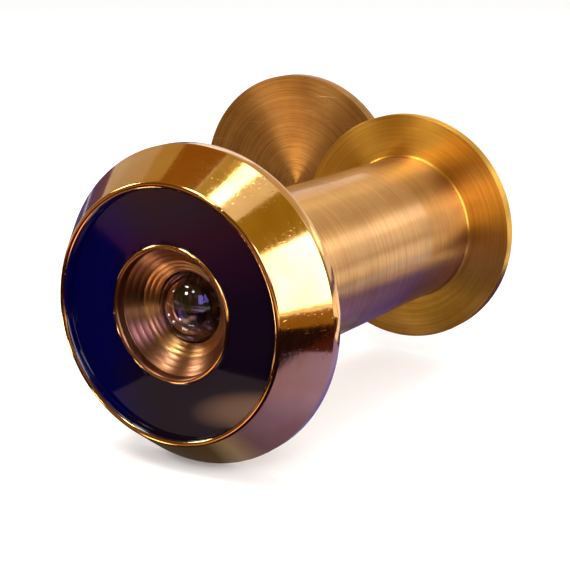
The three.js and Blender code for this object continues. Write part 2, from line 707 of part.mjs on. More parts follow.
const outdoorHalf = new THREE.Group();
outdoorHalf.add(
  part("outer_barrel", outerBarrel(), polishedBrass),
  part("front_lens_seal", frontLensSeal(), blackRubber),
  part("front_lens", frontLens(), opticalGlass),
  part("front_spacer", spacer(FRONT_SPACER_Y, FRONT_SPACER_LENGTH), blackedAluminium),
  part("middle_lens", middleLens(), opticalGlass),
  part("rear_spacer", spacer(REAR_SPACER_Y, REAR_SPACER_LENGTH), blackedAluminium),
  part("rear_lens", rearLens(), opticalGlass),
  part("lens_lock_ring", lensLockRing(), turnedBrass),
);

// The cover turns about the rivet, from closed to where it rests open.
const cover = part("privacy_cover", privacyCover(), turnedBrass);
cover.position.set(-PIVOT_X, 0, -PIVOT_Z);
const coverSwing = new THREE.Group();
coverSwing.position.set(PIVOT_X, 0, PIVOT_Z);
coverSwing.rotation.y = -THREE.MathUtils.degToRad(COVER_OPEN_DEGREES);
coverSwing.add(cover);

const indoorHalf = new THREE.Group();
indoorHalf.add(
  part("inner_tube", innerTube(), turnedBrass),
  part("eyepiece_lens", eyepieceLens(), opticalGlass),
  part("eyepiece_spring_ring", eyepieceSpringRing(), springSteel),
  part("cover_rivet", coverRivet(), turnedBrass),
  part("cover_spring_washer", coverSpringWasher(), springSteel),
  coverSwing,
);

const doorViewer = new THREE.Group();
doorViewer.add(outdoorHalf, indoorHalf);

export default doorViewer;
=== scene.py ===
"""A brass door viewer, dressed for its portrait in brass, lacquer, glass, steel and rubber."""
import math

import bpy
from mathutils import Matrix, Vector


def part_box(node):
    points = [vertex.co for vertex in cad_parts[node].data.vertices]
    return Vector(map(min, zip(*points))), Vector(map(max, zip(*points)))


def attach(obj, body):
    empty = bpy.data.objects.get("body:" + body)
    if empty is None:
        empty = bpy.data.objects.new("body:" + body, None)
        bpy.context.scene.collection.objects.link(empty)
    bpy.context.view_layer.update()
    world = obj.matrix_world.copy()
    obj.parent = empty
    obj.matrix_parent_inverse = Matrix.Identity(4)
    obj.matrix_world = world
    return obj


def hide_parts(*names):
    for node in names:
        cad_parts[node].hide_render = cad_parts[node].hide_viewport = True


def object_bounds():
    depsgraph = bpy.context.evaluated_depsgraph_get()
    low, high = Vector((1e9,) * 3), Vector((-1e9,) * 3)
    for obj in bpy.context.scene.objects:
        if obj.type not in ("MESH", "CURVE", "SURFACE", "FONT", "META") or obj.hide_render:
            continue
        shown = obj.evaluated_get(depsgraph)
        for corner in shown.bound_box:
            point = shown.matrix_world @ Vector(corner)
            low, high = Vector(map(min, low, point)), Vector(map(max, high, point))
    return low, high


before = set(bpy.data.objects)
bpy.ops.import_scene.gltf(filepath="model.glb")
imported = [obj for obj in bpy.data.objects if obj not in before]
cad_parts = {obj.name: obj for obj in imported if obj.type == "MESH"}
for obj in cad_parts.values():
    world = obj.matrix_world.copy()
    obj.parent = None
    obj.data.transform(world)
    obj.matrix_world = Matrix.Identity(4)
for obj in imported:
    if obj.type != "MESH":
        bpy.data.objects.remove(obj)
cad_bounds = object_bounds()

MM = 0.001

# How finely round pieces are turned.
SEGMENTS = 192
SMALL_SEGMENTS = 96
HOLE_SEGMENTS = 64
THREAD_SEGMENTS = 64
BEAD_STEPS = 12
DISH_STEPS = 12
RING_STEPS = 8
FILLET_STEPS = 8
DOME_STEPS = 32
LENS_STEPS = 24
SHALLOW_LENS_STEPS = 20
RIVET_DOME_STEPS = 16

# How close points are that count as one, in metres.
WELD = 0.0000005

# All sizes from here to the camera's are in millimetres. Cutters reach past what they cut by OVERCUT or a
# HAIR, and a HAIR also keeps faces that lie right on a limit inside it.
OVERCUT = 1.0
HAIR = 0.01

# Bezel face, as radii and depths. Its rim, lip and barrel take their places from the frame.
RIM_HEIGHT = 1.0
LIP_RADIUS = 10.65
DISH_RADIUS = 10.0
DISH_DEPTH = 0.8
DISH_SAG = 0.01
WELL_RIM_RADIUS = 5.6
WELL_RADIUS = 5.15
WELL_WALL_DEPTH = 1.5
WELL_DEPTH = 2.55
WELL_STEPS = 3
WELL_BEAD = 0.02
SEAT_RADIUS = 2.95
SEAT_LAND = 0.25
SEAT_RINGS = 3
SEAT_BEAD = 0.035
CREASE = 0.03
LENS_OPENING_RADIUS = 3.95
LENS_LIP = 1.0
CELL_RADIUS = 4.85
CELL_RELIEF = 0.3
BARREL_RADIUS = 7.0
BARREL_CHAMFER = 0.12
BORE_RADIUS = 6.1

# How far the bezel's finishes reach. Lacquer goes a little up the lip and the well's rim. The darker brass
# that paints shade in the well goes up the well's rim from inside, and past the lens cell's end and wall.
# Satin brass stops short of the bezel's rim.
LACQUER_LIP = 0.12
LACQUER_RIM = 0.02
WELL_SHADE_RIM = 0.18
WELL_SHADE_CELL_END = 0.2
WELL_SHADE_CELL_WALL = 0.1
SATIN_MARGIN = 1.0

# The thread that joins the two halves, seen where they are pulled apart.
THREAD_CREST = 5.8
THREAD_ROOT = 5.2
THREAD_PITCH = 1.25
THREAD_FLANK = 0.36
THREAD_CREST_WIDTH = 0.18

# Lenses.
SEAL_GAP = 0.1
DOME_RADIUS = 3.0
DOME_CURVE = 3.1065
DOME_STEP = 0.3
FRONT_HOLLOW_RADIUS = 2.4
FRONT_HOLLOW_CURVE = 2.4022
HOLLOW_RADIUS = 3.3
MIDDLE_HOLLOW_CURVE = 5.0
REAR_FRONT_CURVE = 9.0
REAR_BACK_CURVE = 12.0
EYEPIECE_CURVE = 11.0
EYEPIECE_CAP_RADIUS = 3.8
SPACER_BORE = 2.9
SEAL_BORE = 4.1

# Indoor flange and its tube.
NECK_LENGTH = 1.0
NECK_RADIUS = 5.05
NECK_OVERLAP = 0.1
FLANGE_RECESS_RADIUS = 7.03
FLANGE_RECESS = 0.3
FLANGE_FILLET = 0.28
TUBE_BORE = 4.5
TUBE_CHAMFER = 0.5
SHOULDER_RADIUS = 3.95
SHOULDER = 0.7
EYE_CUP_RADIUS = 6.8
EYE_CUP_DEPTH = 1.7
EYE_CUP_THROAT = 4.3
EYE_CUP_THROAT_DEPTH = 0.8
SPRING_GROOVE_RADIUS = 4.7
SPRING_GROOVE_HALF = 0.47
COIN_SLOT_WIDTH = 1.5
COIN_SLOT_DEPTH = 0.7
COIN_SLOT_OVERRUN = 0.3

# The black in the bore starts this far from the tube's end and goes as far past the shoulder.
BLACK_EDGE = 0.1

# Cover, rivet and washer.
RIVET_HOLE = 1.1
RIVET_SHANK = 0.8
RIVET_FLARE = 1.25
RIVET_FLARE_DEPTH = 0.45
RIVET_DOME_HEIGHT = 0.9
FLARE_HOLE = 1.55
FLARE_LAND = 0.1
WASHER_CUP = 0.25
WASHER_THICKNESS = 0.2

# Edges that a hand tool leaves, and the angle in degrees past which an edge counts as sharp.
EDGE_BREAK = 0.07
FINE_EDGE_BREAK = 0.03
SHARP_ANGLE = 30.0

# The camera stands where the photograph was taken from.
CAMERA_PLACE = (66.755, -93.699, 30.533)
CAMERA_FORWARD = (-0.51491, 0.82155, -0.24478)
CAMERA_UP = (-0.12999, 0.20741, 0.96958)
CAMERA_LENS = 93.857
CAMERA_SENSOR = 36.0

AXIS = (0.0, 1.0, 0.0)
ON_AXIS = (0.0, 0.0, 0.0)

# A quarter turn, which draws highlights out across the lines of a turned surface.
ACROSS_LINES = 0.25

# Noise stays mostly inside these ranges, so mapping from them brings out its light and dark.
NARROW_RANGE = {"From Min": 0.35, "From Max": 0.65}
WIDE_RANGE = {"From Min": 0.3, "From Max": 0.7}

# Sockets of a Mix node that mixes colours.
FIRST_COLOUR = 6
SECOND_COLOUR = 7
MIXED_COLOUR = 2

# Tones of turned brass: light, lined and aged.
YELLOW_BRASS = ("#EBB64E", "#D59D34", "#B68022")
RED_BRASS = ("#C08E50", "#A4743A", "#7C4E28")
BARREL_BRASS = ("#E0AC66", "#CC944C", "#AE7C40")
SEAT_BRASS = ("#C89660", "#B07E4A", "#885A3A")
# The well's darker tones are painted shade in the recess and inside the lens cell.
SHADED_WELL_BRASS = ("#96694A", "#7C5238", "#5A3A2A")
BARE_SCRATCH = "#F6DDA6"

# Studio, in metres: how far off lamps and cards stand, and where the floor and the mats on it lie. WORLD_FILL
# and FLOOR_LIFT are how bright the room and the floor are.
LAMP_DISTANCE = 0.35
CARD_DISTANCE = 0.5
FLOOR_SIZE = 6.0
FLOOR_DROP = 0.0001
MAT_LAYER = 0.00002
WORLD_FILL = 0.85
FLOOR_LIFT = 0.15
MIDDLE = (Vector(cad_bounds[0]) + Vector(cad_bounds[1])) / 2

# Tints of the graded mats, as shares of the way and the colour there. The first two go from left to right,
# and the third from the middle out.
NEAR_TINTS = [
    (0.0, "#423B33"),
    (0.07, "#4A4238"),
    (0.13, "#848689"),
    (0.2, "#6862A0"),
    (0.33, "#7C71C8"),
    (0.5, "#9C95FF"),
]
BROWN_TINTS = [(0.1, "#C8785A"), (0.27, "#9A6E6C"), (0.42, "#A04A48"), (0.6, "#7A2A38"), (0.8, "#2E1418")]
TAN_TINTS = [(0.0, "#FFC49A"), (0.45, "#E8AE86"), (0.9, "#584942")]


def linear(code):
    """An sRGB hex colour as linear red, green, blue and alpha."""
    channels = [int(code[i : i + 2], 16) / 255 for i in (1, 3, 5)]
    bent = [c / 12.92 if c <= 0.04045 else ((c + 0.055) / 1.055) ** 2.4 for c in channels]
    return (*bent, 1.0)


def node(tree, kind, settings=None, links=None):
    """Adds a node. Settings are socket values or properties. A link is a socket or a node's first output."""
    made = tree.nodes.new(kind)
    for key, value in (settings or {}).items():
        if isinstance(key, int) or key in made.inputs:
            made.inputs[key].default_value = value
        else:
            setattr(made, key, value)
    for key, source in (links or {}).items():
        socket = source.outputs[0] if isinstance(source, bpy.types.Node) else source
        tree.links.new(socket, made.inputs[key])
    return made


def new_material(name):
    """An empty material and its node tree."""
    material = bpy.data.materials.new(name)
    material.use_nodes = True
    material.node_tree.nodes.clear()
    return material, material.node_tree


def turned_places(tree, centre):
    """Radius, height and directions on a piece turned about the Y axis through centre, in millimetres."""
    place = node(tree, "ShaderNodeTexCoord").outputs["Object"]
    moved = node(tree, "ShaderNodeVectorMath", {"operation": "SUBTRACT", 1: centre}, {0: place})
    sized = node(tree, "ShaderNodeVectorMath", {"operation": "SCALE", "Scale": 1 / MM}, {0: moved})
    flat = node(tree, "ShaderNodeVectorMath", {"operation": "MULTIPLY", 1: (1, 0, 1)}, {0: sized})
    length = node(tree, "ShaderNodeVectorMath", {"operation": "LENGTH"}, {0: flat})
    outward = node(tree, "ShaderNodeVectorMath", {"operation": "NORMALIZE"}, {0: flat})
    side = node(tree, "ShaderNodeVectorMath", {"operation": "CROSS_PRODUCT", 1: AXIS}, {0: outward})
    settings = {"vector_type": "VECTOR", "convert_from": "OBJECT", "convert_to": "WORLD"}
    return {
        "place": sized,
        "height": node(tree, "ShaderNodeSeparateXYZ", {}, {0: sized}).outputs["Y"],
        "radius": length.outputs["Value"],
        "outward": node(tree, "ShaderNodeSeparateXYZ", {}, {0: outward}),
        "tangent": node(tree, "ShaderNodeVectorTransform", settings, {"Vector": side}),
    }


def tool_marks(tree, places, spacing, run, detail):
    """Lines round the axis, spacing millimetres apart, each run radians long or so before it fades."""
    sources = (
        (places["radius"], spacing),
        (places["height"], spacing),
        (places["outward"].outputs["X"], run),
        (places["outward"].outputs["Z"], run),
    )
    across, along, one_way, other_way = [
        node(tree, "ShaderNodeMath", {"operation": "DIVIDE", 1: size}, {0: source})
        for source, size in sources
    ]
    vector = node(tree, "ShaderNodeCombineXYZ", {}, {0: across, 1: along, 2: one_way})
    settings = {"noise_dimensions": "4D", "Scale": 1.0, "Detail": detail, "Roughness": 0.6}
    return node(tree, "ShaderNodeTexNoise", settings, {"Vector": vector, "W": other_way})


def blotches(tree, places, size, detail):
    """Soft patches, size millimetres across."""
    settings = {"Scale": 1 / size, "Detail": detail, "Roughness": 0.55}
    return node(tree, "ShaderNodeTexNoise", settings, {"Vector": places["place"]})


def scratches(tree, places):
    """Sparse scratches, a tenth of a millimetre wide and some millimetres long, in two directions."""
    strands = []
    for turn in (0.5, 1.9):
        settings = {"Rotation": (0, turn, 0), "Scale": (0.22, 0.22, 9)}
        laid = node(tree, "ShaderNodeMapping", settings, {"Vector": places["place"]})
        streak = node(tree, "ShaderNodeTexNoise", {"Scale": 1.0, "Detail": 1.0}, {"Vector": laid})
        peaks = {"From Min": 0.72, "From Max": 0.82}
        strands.append(node(tree, "ShaderNodeMapRange", peaks, {"Value": streak}))
    return node(tree, "ShaderNodeMath", {"operation": "MAXIMUM"}, {0: strands[0], 1: strands[1]})


def two_tones(tree, pattern, first, second):
    """The first colour where the pattern is low, and the second where it is high."""
    share = node(tree, "ShaderNodeMapRange", NARROW_RANGE, {"Value": pattern})
    settings = {"data_type": "RGBA", FIRST_COLOUR: linear(first), SECOND_COLOUR: linear(second)}
    return node(tree, "ShaderNodeMix", settings, {"Factor": share}).outputs[MIXED_COLOUR]


def bumped(tree, layers):
    """A normal bent by each (height, depth in millimetres) in turn."""
    normal = None
    for height, depth in layers:
        links = {"Height": height}
        if normal is not None:
            links["Normal"] = normal
        normal = node(tree, "ShaderNodeBump", {"Strength": 1.0, "Distance": depth * MM}, links)
    return normal


# Free-cutting brass, turned and then buffed to a mirror. The eye gets deep gold reflections with ragged
# edges, faint rings where the tool went round, and small dark pits.
def polished_brass():
    material, tree = new_material("Polished brass")
    places = turned_places(tree, ON_AXIS)
    rings = tool_marks(tree, places, spacing=0.22, run=0.12, detail=3.0)
    buffing = blotches(tree, places, size=0.7, detail=3.0)
    grains = blotches(tree, places, size=0.22, detail=1.0)
    patina = blotches(tree, places, size=5.0, detail=2.0)
    holes = {"From Min": 0.66, "From Max": 0.76, "To Min": 1.0, "To Max": 0.0}
    pits = node(tree, "ShaderNodeMapRange", holes, {"Value": grains})
    polish = {**WIDE_RANGE, "To Min": 0.07, "To Max": 0.14}
    settings = {"Metallic": 1.0, "Anisotropic": 0.4, "Anisotropic Rotation": ACROSS_LINES}
    links = {
        "Base Color": two_tones(tree, patina, "#E3B06C", "#D79C54"),
        "Roughness": node(tree, "ShaderNodeMapRange", polish, {"Value": rings}),
        "Tangent": places["tangent"],
        "Normal": bumped(tree, [(rings, 0.0025), (pits, 0.003), (buffing, 0.004)]),
    }
    brass = node(tree, "ShaderNodeBsdfPrincipled", settings, links)
    node(tree, "ShaderNodeOutputMaterial", {}, {"Surface": brass})
    return material


# The same brass left as the lathe made it. The eye gets satin gold with fine lines round the axis, and a
# highlight drawn out across them. Handled pieces have bright scratches, and a thin coat of clear lacquer adds
# sharper, paler reflections to the barrel.
def turned_brass(name, centre, depth, anisotropy, smoothest, tones, wear=0.0, coat=0.0):
    """Depth is that of the lines in millimetres, and smoothest is the least roughness."""
    light, lined, aged = tones
    material, tree = new_material(name)
    places = turned_places(tree, centre)
    fine = tool_marks(tree, places, spacing=0.15, run=0.9, detail=2.0)
    coarse = tool_marks(tree, places, spacing=0.45, run=2.5, detail=1.0)
    patina = blotches(tree, places, size=4.0, detail=3.0)
    nicks = node(tree, "ShaderNodeMath", {"operation": "MULTIPLY", 1: wear}, {0: scratches(tree, places)})
    age = {"From Min": 0.45, "From Max": 0.75, "To Max": 0.5}
    share = node(tree, "ShaderNodeMapRange", age, {"Value": patina})
    settings = {"data_type": "RGBA", SECOND_COLOUR: linear(aged)}
    links = {"Factor": share, FIRST_COLOUR: two_tones(tree, fine, light, lined)}
    brass = node(tree, "ShaderNodeMix", settings, links).outputs[MIXED_COLOUR]
    settings = {"data_type": "RGBA", SECOND_COLOUR: linear(BARE_SCRATCH)}
    scratched = node(tree, "ShaderNodeMix", settings, {"Factor": nicks, FIRST_COLOUR: brass})
    satin = {**WIDE_RANGE, "To Min": smoothest, "To Max": smoothest + 0.1}
    settings = {
        "Metallic": 1.0,
        "Anisotropic": anisotropy,
        "Anisotropic Rotation": ACROSS_LINES,
        "Coat Weight": coat,
        "Coat Roughness": 0.12,
    }
    links = {
        "Base Color": scratched.outputs[MIXED_COLOUR],
        "Roughness": node(tree, "ShaderNodeMapRange", satin, {"Value": fine}),
        "Tangent": places["tangent"],
        "Normal": bumped(tree, [(coarse, depth), (fine, depth), (nicks, 0.004)]),
    }
    metal = node(tree, "ShaderNodeBsdfPrincipled", settings, links)
    node(tree, "ShaderNodeOutputMaterial", {}, {"Surface": metal})
    return material


# Black stoving lacquer over polished brass. The eye gets a near-black mirror with faint rings. Its colour is
# a painted
# reflection: navy to one side and brownish black to the other, with a wandering edge between them.
def black_lacquer():
    material, tree = new_material("Black lacquer on brass")
    places = turned_places(tree, ON_AXIS)
    rings = tool_marks(tree, places, spacing=0.2, run=0.6, detail=3.0)
    patches = blotches(tree, places, size=4.5, detail=2.0)
    # Painted reflection: the colour goes from navy to brownish black along X, and soft patches move its edge.
    across = node(tree, "ShaderNodeSeparateXYZ", {}, {0: places["place"]}).outputs["X"]
    painted_reflection_wander = {**WIDE_RANGE, "To Min": -1.5, "To Max": 1.5}
    wander = node(tree, "ShaderNodeMapRange", painted_reflection_wander, {"Value": patches})
    reach = node(tree, "ShaderNodeMath", {"operation": "ADD"}, {0: across, 1: wander})
    painted_reflection_share = node(tree, "ShaderNodeMapRange", {"From Min": -6.5, "From Max": -1.5}, {"Value": reach})
    colours = {"data_type": "RGBA", FIRST_COLOUR: linear("#02012C"), SECOND_COLOUR: linear("#0B0410")}
    gloss = {**WIDE_RANGE, "To Min": 0.03, "To Max": 0.07}
    links = {
        "Base Color": node(tree, "ShaderNodeMix", colours, {"Factor": painted_reflection_share}).outputs[MIXED_COLOUR],
        "Roughness": node(tree, "ShaderNodeMapRange", gloss, {"Value": rings}),
        "Normal": bumped(tree, [(rings, 0.0004)]),
    }
    lacquer = node(tree, "ShaderNodeBsdfPrincipled", {"IOR": 1.5}, links)
    node(tree, "ShaderNodeOutputMaterial", {}, {"Surface": lacquer})
    return material


# Crown glass, ground and polished, with a bloomed surface. The eye gets a clear dome with sharp lamp points
# and a violet cast.
def optical_glass():
    material, tree = new_material("Bloomed crown glass")
    smears = blotches(tree, turned_places(tree, ON_AXIS), size=1.5, detail=2.0)
    settings = {
        "Base Color": linear("#E4DAF4"),
        "Transmission Weight": 1.0,
        "IOR": 1.52,
        "Coat Weight": 0.6,
        "Coat Roughness": 0.0,
    }
    polish = {"From Min": 0.4, "From Max": 0.7, "To Min": 0.0, "To Max": 0.03}
    roughness = node(tree, "ShaderNodeMapRange", polish, {"Value": smears})
    glass = node(tree, "ShaderNodeBsdfPrincipled", settings, {"Roughness": roughness})
    node(tree, "ShaderNodeOutputMaterial", {}, {"Surface": glass})
    return material


# Aluminium anodised black or bronze, or brass blacked in the bath. The eye gets a matt charcoal or brown with
# faint rings.
def matt_metal(name, light, dark):
    material, tree = new_material(name)
    rings = tool_marks(tree, turned_places(tree, ON_AXIS), spacing=0.1, run=0.5, detail=2.0)
    etched = {**WIDE_RANGE, "To Min": 0.4, "To Max": 0.55}
    links = {
        "Base Color": two_tones(tree, rings, light, dark),
        "Roughness": node(tree, "ShaderNodeMapRange", etched, {"Value": rings}),
        "Normal": bumped(tree, [(rings, 0.002)]),
    }
    metal = node(tree, "ShaderNodeBsdfPrincipled", {"Metallic": 0.6}, links)
    node(tree, "ShaderNodeOutputMaterial", {}, {"Surface": metal})
    return material


# Spring steel, rolled and hardened. The eye gets bright grey with a straw tint and fine lines.
def spring_steel(name, centre):
    material, tree = new_material(name)
    places = turned_places(tree, centre)
    rings = tool_marks(tree, places, spacing=0.08, run=0.6, detail=2.0)
    tint = blotches(tree, places, size=1.2, detail=2.0)
    rolled = {**WIDE_RANGE, "To Min": 0.22, "To Max": 0.36}
    settings = {"Metallic": 1.0, "Anisotropic": 0.4, "Anisotropic Rotation": ACROSS_LINES}
    links = {
        "Base Color": two_tones(tree, tint, "#B9B7B2", "#A39C8C"),
        "Roughness": node(tree, "ShaderNodeMapRange", rolled, {"Value": rings}),
        "Tangent": places["tangent"],
        "Normal": bumped(tree, [(rings, 0.001)]),
    }
    steel = node(tree, "ShaderNodeBsdfPrincipled", settings, links)
    node(tree, "ShaderNodeOutputMaterial", {}, {"Surface": steel})
    return material


# Nitrile rubber, moulded. The eye gets a dull black with a faint grain.
def nitrile_rubber():
    material, tree = new_material("Nitrile rubber")
    grain = blotches(tree, turned_places(tree, ON_AXIS), size=0.15, detail=3.0)
    moulded = {**WIDE_RANGE, "To Min": 0.6, "To Max": 0.8}
    links = {
        "Base Color": two_tones(tree, grain, "#131313", "#1E1D1C"),
        "Roughness": node(tree, "ShaderNodeMapRange", moulded, {"Value": grain}),
        "Normal": bumped(tree, [(grain, 0.004)]),
    }
    rubber = node(tree, "ShaderNodeBsdfPrincipled", {}, links)
    node(tree, "ShaderNodeOutputMaterial", {}, {"Surface": rubber})
    return material


def extent(name):
    """Lowest and highest corner of a CAD node, in millimetres."""
    low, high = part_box(name)
    return low / MM, high / MM


def arc(radius, y, bend, start, end, steps):
    """Points of a round stretch of an outline, between two angles in degrees."""
    points = []
    for i in range(steps + 1):
        angle = math.radians(start + (end - start) * i / steps)
        points.append((radius + bend * math.cos(angle), y + bend * math.sin(angle)))
    return points


def sag(curve, radius):
    """How far a ball of the given curve falls away at a radius."""
    return curve - math.sqrt(curve * curve - radius * radius)


def cap(curve, crown, side, start, end, steps):
    """Points of a ball's surface between two radii. Side 1 falls away towards +Y, and -1 towards -Y."""
    first = math.asin(start / curve)
    last = math.asin(end / curve)
    points = []
    for i in range(steps + 1):
        angle = first + (last - first) * i / steps
        points.append((curve * math.sin(angle), crown + side * curve * (1 - math.cos(angle))))
    return points


def ringed(inner, inner_y, outer, outer_y, rings, bead):
    """Points of a slope from an inner to an outer radius, turned in rings that each swell by bead."""
    points = []
    for i in range(rings):
        for k in range(RING_STEPS + 1):
            step = k / RING_STEPS
            share = (i + step) / rings
            swell = 4 * bead * step * (1 - step)
            points.append((inner + (outer - inner) * share, inner_y + (outer_y - inner_y) * share - swell))
    return points


def select_only(piece):
    bpy.ops.object.select_all(action="DESELECT")
    piece.select_set(True)
    bpy.context.view_layer.objects.active = piece


def draw_outline(name, outline, centre):
    """A line of edges through the outline, grown from a point by extruding, left in edit mode."""
    bpy.ops.object.select_all(action="DESELECT")
    radius, y = outline[0]
    start = Vector((centre[0], y * MM, centre[2] + radius * MM))
    bpy.ops.mesh.primitive_plane_add(size=MM, location=start)
    piece = bpy.context.object
    piece.name = name
    bpy.ops.object.mode_set(mode="EDIT")
    bpy.ops.mesh.select_all(action="SELECT")
    bpy.ops.mesh.merge(type="CENTER")
    for next_radius, next_y in outline[1:]:
        step = (0, (next_y - y) * MM, (next_radius - radius) * MM)
        bpy.ops.mesh.extrude_region_move(TRANSFORM_OT_translate={"value": step})
        radius, y = next_radius, next_y
    return piece


def settle(piece):
    """The piece's place goes into its mesh, so that its object sits at the origin."""
    select_only(piece)
    bpy.ops.object.transform_apply(location=True, rotation=True, scale=True)


def turned(name, outline, centre=ON_AXIS, segments=SEGMENTS):
    """A solid turned from an outline of (radius, y) about the Y axis through centre."""
    points = list(outline)
    if points[0][0] > 0:
        points.append(points[0])
    piece = draw_outline(name, points, centre)
    bpy.ops.mesh.select_all(action="SELECT")
    bpy.ops.mesh.spin(steps=segments, angle=2 * math.pi, center=centre, axis=AXIS)
    bpy.ops.mesh.select_all(action="SELECT")
    bpy.ops.mesh.remove_doubles(threshold=WELD)
    bpy.ops.mesh.normals_make_consistent(inside=False)
    bpy.ops.object.mode_set(mode="OBJECT")
    settle(piece)
    return piece


def apply_modifier(piece, kind, **settings):
    """Adds a modifier with its settings and applies it."""
    select_only(piece)
    modifier = piece.modifiers.new(kind.title(), kind)
    for key, value in settings.items():
        setattr(modifier, key, value)
    bpy.ops.object.modifier_apply(modifier=modifier.name)


def cut(piece, cutter):
    """Takes the cutter's shape out of the piece and deletes the cutter."""
    apply_modifier(piece, "BOOLEAN", operation="DIFFERENCE", solver="EXACT", object=cutter)
    bpy.data.objects.remove(cutter)


def join(piece, other):
    """Makes one solid of two."""
    apply_modifier(piece, "BOOLEAN", operation="UNION", solver="EXACT", object=other)
    bpy.data.objects.remove(other)


def soften(piece, width):
    """Breaks the sharp edges and smooths the shading."""
    apply_modifier(
        piece,
        "BEVEL",
        width=width * MM,
        segments=2,
        limit_method="ANGLE",
        angle_limit=math.radians(SHARP_ANGLE),
        miter_outer="MITER_ARC",
    )
    smooth(piece)


def smooth(piece):
    select_only(piece)
    bpy.ops.object.shade_smooth_by_angle(angle=math.radians(SHARP_ANGLE))
    apply_modifier(piece, "WEIGHTED_NORMAL", keep_sharp=True, weight=50)


def finish_piece(piece, body, material, slot, *nodes):
    """Gives the piece its material and body, and hides the CAD nodes that it stands for. The slot is not
    used.
    """
    piece.data.materials.clear()
    piece.data.materials.append(material)
    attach(piece, body)
    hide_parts(*nodes)


def threaded_rod(name, crest_y, start_y, end_y):
    """A rod with a right-hand thread, cut square at both ends. A crest passes its +Z side at crest_y."""
    before = math.ceil((crest_y - start_y) / THREAD_PITCH) + 2
    first = crest_y - before * THREAD_PITCH
    turns = math.ceil((end_y - first) / THREAD_PITCH) + 2
    half = THREAD_CREST_WIDTH / 2
    outline = [
        (THREAD_ROOT, first - half - THREAD_FLANK),
        (THREAD_CREST, first - half),
        (THREAD_CREST, first + half),
        (THREAD_ROOT, first + half + THREAD_FLANK),
        (THREAD_ROOT, first - half - THREAD_FLANK + THREAD_PITCH),
    ]
    piece = draw_outline(name, outline, ON_AXIS)
    bpy.ops.object.mode_set(mode="OBJECT")
    settle(piece)
    apply_modifier(
        piece,
        "SCREW",
        axis="Y",
        angle=2 * math.pi,
        screw_offset=THREAD_PITCH * MM,
        iterations=turns,
        steps=THREAD_SEGMENTS,
        render_steps=THREAD_SEGMENTS,
        use_merge_vertices=True,
        merge_threshold=WELD,
    )
    bpy.ops.object.mode_set(mode="EDIT")
    bpy.ops.mesh.select_all(action="SELECT")
    bpy.ops.mesh.bisect(plane_co=(0, start_y * MM, 0), plane_no=AXIS, use_fill=True, clear_inner=True)
    bpy.ops.mesh.select_all(action="SELECT")
    bpy.ops.mesh.bisect(plane_co=(0, end_y * MM, 0), plane_no=AXIS, use_fill=True, clear_outer=True)
    bpy.ops.mesh.select_all(action="SELECT")
    bpy.ops.mesh.normals_make_consistent(inside=False)
    bpy.ops.object.mode_set(mode="OBJECT")
    return piece


def box_cutter(width, depth, length, place):
    """A plain block that cuts a slot."""
    bpy.ops.object.select_all(action="DESELECT")
    location = [v * MM for v in place]
    bpy.ops.mesh.primitive_cube_add(size=MM, location=location, scale=(width, depth, length))
    block = bpy.context.object
    settle(block)
    return block


def bezel_outline(lip_y, bezel_radius, barrel_end, relief_y):
    """Outline of bezel, barrel and bore, counter-clockwise from the lens opening's edge."""
    opening_y = lip_y + WELL_DEPTH
    seat_y = opening_y + LENS_LIP
    land_y = seat_y - SEAT_LAND
    wall_y = lip_y + WELL_WALL_DEPTH
    points = ringed(SEAT_RADIUS, land_y, LENS_OPENING_RADIUS, opening_y, SEAT_RINGS, SEAT_BEAD)
    points += ringed(LENS_OPENING_RADIUS, opening_y, WELL_RADIUS, wall_y, WELL_STEPS, WELL_BEAD)
    dish_y = lip_y + DISH_DEPTH
    rim_half = (WELL_RIM_RADIUS - WELL_RADIUS) / 2
    points += arc(WELL_RADIUS + rim_half, dish_y, rim_half, 180, 360, BEAD_STEPS)
    span = DISH_RADIUS - WELL_RIM_RADIUS
    shares = [CREASE / span, *(i / DISH_STEPS for i in range(1, DISH_STEPS)), 1 - CREASE / span]
    for share in shares:
        points.append((WELL_RIM_RADIUS + span * share, dish_y + 4 * DISH_SAG * share * (1 - share)))
    points.append((DISH_RADIUS, dish_y))
    lip_half = (LIP_RADIUS - DISH_RADIUS) / 2
    tilt = math.degrees(math.atan2(-lip_y - RIM_HEIGHT - lip_half, bezel_radius - LIP_RADIUS))
    points += arc(DISH_RADIUS + lip_half, lip_y + lip_half, lip_half, 180, 270 + tilt, BEAD_STEPS)
    points += [
        (bezel_radius, -RIM_HEIGHT),
        (bezel_radius, 0),
        (BARREL_RADIUS, 0),
        (BARREL_RADIUS, barrel_end - BARREL_CHAMFER),
        (BARREL_RADIUS - BARREL_CHAMFER, barrel_end),
        (BORE_RADIUS, barrel_end),
        (BORE_RADIUS, relief_y + BORE_RADIUS - CELL_RADIUS),
        (CELL_RADIUS, relief_y),
        (CELL_RADIUS, seat_y),
        (SEAT_RADIUS, seat_y),
    ]
    return points


